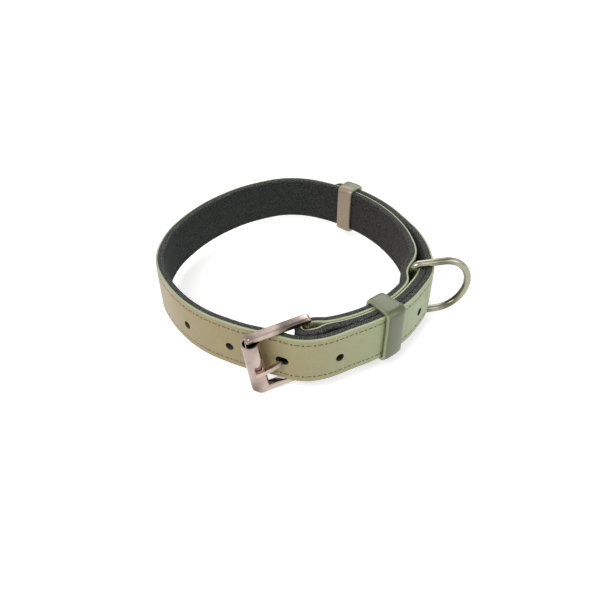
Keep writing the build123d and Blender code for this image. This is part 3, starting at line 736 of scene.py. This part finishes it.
def keeper_band(name, node, centre):
    """A band through the keeper's own section, bent round the centre of the stretch it slides on."""
    points = [vertex.co for vertex in frame["nodes"][node].data.vertices]
    radii = [(point.xy - centre.xy).length for point in points]
    near, far = min(radii), max(radii)
    low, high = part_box(node)[0][2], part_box(node)[1][2]
    middle_way = sum(((point.xy - centre.xy) for point in points), Vector((0, 0)))
    heading = math.atan2(middle_way.y, middle_way.x)
    bearings = [math.atan2(*(point.xy - centre.xy).yx) for point in points]
    spread = max(abs(math.remainder(bearing - heading, 2 * math.pi)) for bearing in bearings)
    half = keeper_thickness / 2
    loop = []
    for x, z, first in ((far, high, 0), (near, high, 90), (near, low, 180), (far, low, 270)):
        towards = Vector((math.copysign(1, (near + far) / 2 - x), math.copysign(1, (low + high) / 2 - z)))
        pivot = Vector((x, z)) + towards * keeper_corner
        for count in range(7):
            angle = math.radians(first + 15 * count)
            loop.append((pivot, Vector((math.cos(angle), math.sin(angle)))))
    route = []
    for (pivot, out), (after, out_after) in zip(loop, loop[1:] + loop[:1]):
        route.append((pivot + out * (keeper_corner - half), out))
        if (after - pivot).length > 1e-6:
            here, there = pivot + out * (keeper_corner - half), after + out_after * (keeper_corner - half)
            route += [(here.lerp(there, share / 8), out) for share in range(1, 8)]
    rounding = [(-1, -half + keeper_cut_round), (-1, half - keeper_cut_round)]
    faces_out = [-0.965, -0.8, -0.5, 0.0, 0.5, 0.8, 0.965]
    section = [(share, half + keeper_swell * (1 - share ** 4)) for share in faces_out]
    section += [(1, half - keeper_cut_round), (1, -half + keeper_cut_round)]
    section += [(share, -half) for share in reversed(faces_out)] + rounding
    vertices, uvs = [], []
    for count, (place, out) in enumerate(route):
        for share, depth in section:
            at = place + out * depth
            angle = heading + spread * share
            vertices.append((centre.x + at.x * math.cos(angle), centre.y + at.x * math.sin(angle), at.y))
            uvs.append((count / len(route), share))
    wide = len(section)
    quads = []
    for i in range(len(route)):
        for j in range(wide):
            k, m = (i + 1) % len(route), (j + 1) % wide
            quads.append((i * wide + j, i * wide + m, k * wide + m, k * wide + j))
    mesh = bpy.data.meshes.new(name)
    mesh.from_pydata(vertices, [], quads)
    layer = mesh.uv_layers.new(name="UVMap")
    for face in mesh.polygons:
        for corner in face.loop_indices:
            layer.data[corner].uv = uvs[mesh.loops[corner].vertex_index]
    mesh.materials.append(keeper_leather)
    band = new_object(name, mesh)
    bevelled = bmesh.new()
    bevelled.from_mesh(mesh)
    bmesh.ops.recalc_face_normals(bevelled, faces=bevelled.faces)
    bevelled.to_mesh(mesh)
    bevelled.free()
    smooth_by_angle(band, 50)
    return band


for name, centre in (("front_keeper", Vector(joint("front_keeper_slide")["pos_m"])),
                     ("rear_keeper", Vector(joint("rear_keeper_slide")["pos_m"]))):
    band = keeper_band(name + "_band", name, centre)
    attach(band, name)
    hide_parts(name)

# The hardware: roller buckle, prong and dee in nickel-plated steel with fine rubbing marks and streaks of
# painted reflection, warm on the buckle and greyer on the dee. The staples in the keepers are plain bright
# wire.

def nickel_plate(name, dark_reflection_tint, bright_reflection_tint):
    """Polished plate: long cloudy streaks of painted dark and bright reflection between two tones, under fine
    rubbing marks.
    """
    plated, tree = new_material(name)
    place = put(tree, "ShaderNodeTexCoord").outputs["Object"]
    drawn_out = put(tree, "ShaderNodeMapping", {"Vector": place, "Scale": (1.0, 1.0, 0.45)}).outputs[0]
    reflection_streak = put(tree, "ShaderNodeTexNoise", {"Vector": drawn_out, "Scale": 75.0, "Detail": 1.0}).outputs[0]
    smear = object_noise(tree, 420.0, 3.0)
    # Painted reflection: the plate's colour swings between the dark and the bright tint along the streaks.
    tone = ramp(tree, calc(tree, "MULTIPLY_ADD", smear, 0.08, reflection_streak), 0.36, 0.66)
    rub = calc(tree, "ADD", object_noise(tree, 2200.0, 3.0), calc(tree, "MULTIPLY", smear, 0.6))
    surface(tree, put(tree, "ShaderNodeBsdfPrincipled",
                      {"Base Color": mix_colour(tree, tone, dark_reflection_tint, bright_reflection_tint), "Metallic": 1.0,
                       "Roughness": ramp(tree, smear, 0.25, 0.8, 0.09, 0.19),
                       "Normal": bump(tree, rub, 0.00003, 0.5)}))
    return plated


warm_nickel = nickel_plate("warm_nickel", (0.140, 0.112, 0.095, 1), (0.51, 0.41, 0.36, 1))
grey_nickel = nickel_plate("grey_nickel", (0.115, 0.115, 0.080, 1), (0.32, 0.315, 0.24, 1))

wire, tree = new_material("staple_wire")
drawn = object_noise(tree, 1800.0)
surface(tree, put(tree, "ShaderNodeBsdfPrincipled",
                  {"Base Color": mix_colour(tree, drawn, (0.42, 0.42, 0.40, 1), (0.60, 0.60, 0.58, 1)),
                   "Metallic": 1.0, "Roughness": ramp(tree, drawn, 0.3, 0.7, 0.25, 0.4)}))

for node, plated in (("buckle_frame", warm_nickel), ("buckle_roller", warm_nickel),
                     ("buckle_prong", warm_nickel), ("dee_ring", grey_nickel)):
    frame["nodes"][node].data.materials.clear()
    frame["nodes"][node].data.materials.append(plated)
for node in ("front_keeper_staple", "rear_keeper_staple"):
    frame["nodes"][node].data.materials.clear()
    frame["nodes"][node].data.materials.append(wire)
